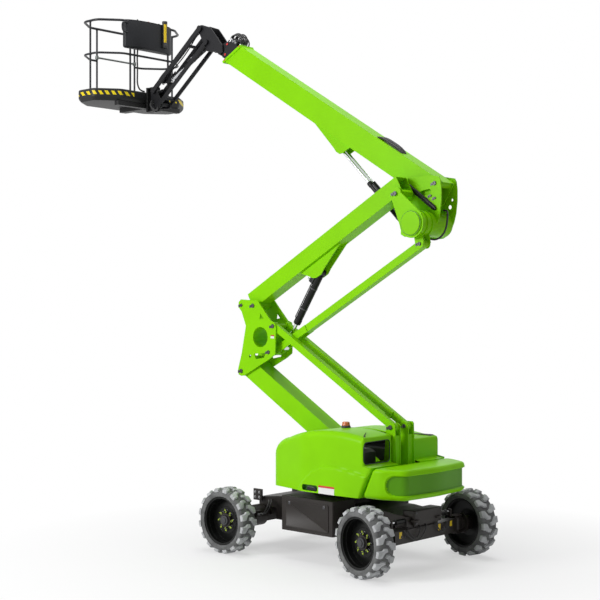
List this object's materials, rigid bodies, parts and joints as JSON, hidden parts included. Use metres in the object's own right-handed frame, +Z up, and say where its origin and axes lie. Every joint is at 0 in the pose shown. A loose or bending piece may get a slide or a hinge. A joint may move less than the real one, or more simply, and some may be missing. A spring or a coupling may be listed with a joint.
{
  "type": "articulating boom lift",
  "caption": "Articulating boom lift with a folding riser, telescopic upper boom, parallel jib and rail basket on a compact wheeled chassis.",
  "frame": {"origin": "on the ground midway between the four wheels, under the slew centre", "axes": "+X towards the basket, +Y to the machine's left, +Z up"},
  "size_m": [6.2185, 2.2475, 7.0042],
  "materials": {
    "body_green": "gloss lime green paint",
    "frame_black": "satin brown-black paint",
    "rod_chrome": "hard chrome plating",
    "bar_grey": "satin grey paint",
    "console_plastic": "fine-grained black moulding",
    "unit_grey": "satin dark grey paint",
    "beacon_amber": "clear amber lens on a black base",
    "tyre_grey": "non-marking light grey solid rubber",
    "rim_black": "satin black paint"
  },
  "bodies": {
    "chassis": {"chassis_frame": "frame_black", "left_side_box": "frame_black", "right_side_box": "frame_black", "fixed_axle": "frame_black", "steer_axle": "frame_black"},
    "left_knuckle": {"left_steering_knuckle": "frame_black"},
    "right_knuckle": {"right_steering_knuckle": "frame_black"},
    "tie_rod": {"tie_rod": "frame_black"},
    "turret": {"turret_frame": "body_green", "counterweight": "body_green", "power_unit": "unit_grey", "battery_box": "unit_grey"},
    "left_hood": {"left_hood": "body_green", "beacon": "beacon_amber"},
    "right_hood": {"right_hood": "body_green"},
    "lower_boom": {"lower_boom": "body_green"},
    "lower_tie": {"lower_tie": "body_green"},
    "elbow": {"elbow": "body_green"},
    "riser": {"riser": "body_green"},
    "upper_tie": {"upper_tie": "body_green"},
    "top_knuckle": {"top_knuckle": "body_green"},
    "riser_cylinder_barrel": {"riser_cylinder_barrel": "frame_black"},
    "riser_cylinder_rod": {"riser_cylinder_rod": "rod_chrome"},
    "near_lift_barrel": {"near_lift_barrel": "frame_black"},
    "far_lift_barrel": {"far_lift_barrel": "frame_black"},
    "near_lift_rod": {"near_lift_rod": "rod_chrome"},
    "far_lift_rod": {"far_lift_rod": "rod_chrome"},
    "upper_boom": {"upper_boom": "body_green"},
    "fly_boom": {"fly_boom": "frame_black"},
    "jib_head": {"jib_head": "frame_black"},
    "jib_arm": {"jib_arm": "frame_black"},
    "jib_link": {"jib_link": "frame_black"},
    "jib_cylinder_barrel": {"jib_cylinder_barrel": "frame_black"},
    "jib_cylinder_rod": {"jib_cylinder_rod": "rod_chrome"},
    "basket_carrier": {"basket_carrier": "frame_black"},
    "basket": {"basket_floor": "frame_black", "basket_rails": "frame_black", "control_console": "console_plastic"},
    "entry_bar": {"entry_bar": "bar_grey"},
    "front_left_wheel": {"front_left_tyre": "tyre_grey", "front_left_rim": "rim_black"},
    "front_right_wheel": {"front_right_tyre": "tyre_grey", "front_right_rim": "rim_black"},
    "rear_left_wheel": {"rear_left_tyre": "tyre_grey", "rear_left_rim": "rim_black"},
    "rear_right_wheel": {"rear_right_tyre": "tyre_grey", "rear_right_rim": "rim_black"}
  },
  "joints": [
    {"name": "front_left_wheel_spin", "type": "hinge", "parent": "chassis", "child": "front_left_wheel", "pos_m": [1.086, 0.9235, 0.3925], "axis": [0, 1, 0], "continuous": true},
    {"name": "front_right_wheel_spin", "type": "hinge", "parent": "chassis", "child": "front_right_wheel", "pos_m": [1.086, -0.9235, 0.3925], "axis": [0, -1, 0], "continuous": true},
    {"name": "rear_left_wheel_spin", "type": "hinge", "parent": "left_knuckle", "child": "rear_left_wheel", "pos_m": [-1.0491, 0.91988, 0.3925], "axis": [0.1942, 0.981, 0], "continuous": true},
    {"name": "rear_right_wheel_spin", "type": "hinge", "parent": "right_knuckle", "child": "rear_right_wheel", "pos_m": [-1.1229, -0.91988, 0.3925], "axis": [-0.1942, -0.981, 0], "continuous": true},
    {"name": "left_steering", "type": "hinge", "parent": "chassis", "child": "left_knuckle", "pos_m": [-1.086, 0.7335, 0.3925], "axis": [0, 0, 1], "range_deg": [-20.8, 43.2]},
    {"name": "right_steering", "type": "hinge", "parent": "chassis", "child": "right_knuckle", "pos_m": [-1.086, -0.7335, 0.3925], "axis": [0, 0, 1], "range_deg": [-20.8, 43.2]},
    {"name": "tie_rod_turn", "type": "hinge", "parent": "left_knuckle", "child": "tie_rod", "pos_m": [-0.8996, 0.6966, 0.317], "axis": [0, 0, 1], "range_deg": [-43.2, 20.8]},
    {"name": "slew", "type": "hinge", "parent": "chassis", "child": "turret", "pos_m": [0, 0, 0.785], "axis": [0, 0, 1], "range_deg": [-177.5, 177.5]},
    {"name": "left_hood_hinge", "type": "hinge", "parent": "turret", "child": "left_hood", "pos_m": [0.62, 0.215, 1], "axis": [0, 0, -1], "range_deg": [0, 65]},
    {"name": "right_hood_hinge", "type": "hinge", "parent": "turret", "child": "right_hood", "pos_m": [0.62, -0.215, 1], "axis": [0, 0, 1], "range_deg": [0, 65]},
    {"name": "lift", "type": "hinge", "parent": "turret", "child": "lower_boom", "pos_m": [-0.266, 0, 0.995], "axis": [0, -1, 0], "range_deg": [-26, 34]},
    {"name": "lower_tie_turn", "type": "hinge", "parent": "turret", "child": "lower_tie", "pos_m": [-0.818, 0, 1.572], "axis": [0, -1, 0], "range_deg": [-26, 34]},
    {"name": "elbow_level", "type": "hinge", "parent": "lower_boom", "child": "elbow", "pos_m": [1.61977, 0, 2.12808], "axis": [0, 1, 0], "range_deg": [-26, 34]},
    {"name": "riser_turn", "type": "hinge", "parent": "elbow", "child": "riser", "pos_m": [1.41377, 0, 2.95808], "axis": [0, 1, 0], "range_deg": [-26, 34]},
    {"name": "upper_tie_turn", "type": "hinge", "parent": "elbow", "child": "upper_tie", "pos_m": [1.14077, 0, 2.38008], "axis": [0, 1, 0], "range_deg": [-26, 34]},
    {"name": "knuckle_level", "type": "hinge", "parent": "riser", "child": "top_knuckle", "pos_m": [-0.87429, 0, 4.24471], "axis": [0, -1, 0], "range_deg": [-26, 34]},
    {"name": "riser_cylinder_swing", "type": "hinge", "parent": "riser", "child": "riser_cylinder_barrel", "pos_m": [0.40034, 0, 3.35931], "axis": [0, 1, 0], "range_deg": [-10.2, 7.8]},
    {"name": "riser_cylinder_stroke", "type": "slide", "parent": "riser_cylinder_barrel", "child": "riser_cylinder_rod", "axis": [0.5462, 0, -0.8376], "range_m": [-0.2366, 0.3094]},
    {"name": "boom", "type": "hinge", "parent": "top_knuckle", "child": "upper_boom", "pos_m": [-1.20729, -0.29, 4.36571], "axis": [0, -1, 0], "range_deg": [-26, 30]},
    {"name": "near_lift_swing", "type": "hinge", "parent": "top_knuckle", "child": "near_lift_barrel", "pos_m": [-0.78029, -0.252, 3.82271], "axis": [0, -1, 0], "range_deg": [-24.44, 28.2]},
    {"name": "near_lift_stroke", "type": "slide", "parent": "near_lift_barrel", "child": "near_lift_rod", "axis": [0.7144, 0, 0.6998], "range_m": [-0.29269, 0.33772]},
    {"name": "far_lift_swing", "type": "hinge", "parent": "top_knuckle", "child": "far_lift_barrel", "pos_m": [-0.78029, -0.328, 3.82271], "axis": [0, -1, 0], "range_deg": [-24.44, 28.2]},
    {"name": "far_lift_stroke", "type": "slide", "parent": "far_lift_barrel", "child": "far_lift_rod", "axis": [0.7144, 0, 0.6998], "range_m": [-0.29269, 0.33772]},
    {"name": "telescope", "type": "slide", "parent": "upper_boom", "child": "fly_boom", "axis": [0.8549, 0, 0.5188], "range_m": [0, 2.6]},
    {"name": "jib_head_level", "type": "hinge", "parent": "fly_boom", "child": "jib_head", "pos_m": [2.40241, -0.29, 6.36664], "axis": [0, 1, 0], "range_deg": [-26, 30]},
    {"name": "jib", "type": "hinge", "parent": "jib_head", "child": "jib_arm", "pos_m": [2.77941, -0.29, 6.70464], "axis": [0, -1, 0], "range_deg": [-32, 64]},
    {"name": "jib_link_turn", "type": "hinge", "parent": "jib_head", "child": "jib_link", "pos_m": [2.64941, -0.29, 6.50464], "axis": [0, -1, 0], "range_deg": [-32, 64]},
    {"name": "jib_cylinder_swing", "type": "hinge", "parent": "jib_head", "child": "jib_cylinder_barrel", "pos_m": [2.64941, -0.29, 6.50464], "axis": [0, -1, 0], "range_deg": [-29.6, 59.2]},
    {"name": "jib_cylinder_stroke", "type": "slide", "parent": "jib_cylinder_barrel", "child": "jib_cylinder_rod", "axis": [0.8894, 0, -0.4572], "range_m": [-0.1117, 0.2234]},
    {"name": "basket_level", "type": "hinge", "parent": "jib_arm", "child": "basket_carrier", "pos_m": [3.72502, -0.29, 5.96584], "axis": [0, 1, 0], "range_deg": [-32, 64]},
    {"name": "basket_swivel", "type": "hinge", "parent": "basket_carrier", "child": "basket", "pos_m": [3.79002, -0.29, 5.86], "axis": [0, 0, 1], "range_deg": [-58, 58]},
    {"name": "entry_bar_lift", "type": "slide", "parent": "basket", "child": "entry_bar", "axis": [0, 0, 1], "range_m": [0, 0.33]}
  ],
  "couplings": [
    {"joint": "right_steering", "follows": "left_steering", "ratio": 1},
    {"joint": "tie_rod_turn", "follows": "left_steering", "ratio": -1},
    {"joint": "lower_tie_turn", "follows": "lift", "ratio": 1},
    {"joint": "elbow_level", "follows": "lift", "ratio": 1},
    {"joint": "riser_turn", "follows": "lift", "ratio": 1},
    {"joint": "upper_tie_turn", "follows": "lift", "ratio": 1},
    {"joint": "knuckle_level", "follows": "lift", "ratio": 1},
    {"joint": "riser_cylinder_swing", "follows": "lift", "ratio": -0.3},
    {"joint": "riser_cylinder_stroke", "follows": "lift", "m_per_rad": 0.5214},
    {"joint": "near_lift_swing", "follows": "boom", "ratio": 0.94},
    {"joint": "near_lift_stroke", "follows": "boom", "m_per_rad": 0.645},
    {"joint": "far_lift_swing", "follows": "boom", "ratio": 0.94},
    {"joint": "far_lift_stroke", "follows": "boom", "m_per_rad": 0.645},
    {"joint": "jib_head_level", "follows": "boom", "ratio": 1},
    {"joint": "jib_link_turn", "follows": "jib", "ratio": 1},
    {"joint": "jib_cylinder_swing", "follows": "jib", "ratio": 0.925},
    {"joint": "jib_cylinder_stroke", "follows": "jib", "m_per_rad": 0.2},
    {"joint": "basket_level", "follows": "jib", "ratio": 1}
  ]
}
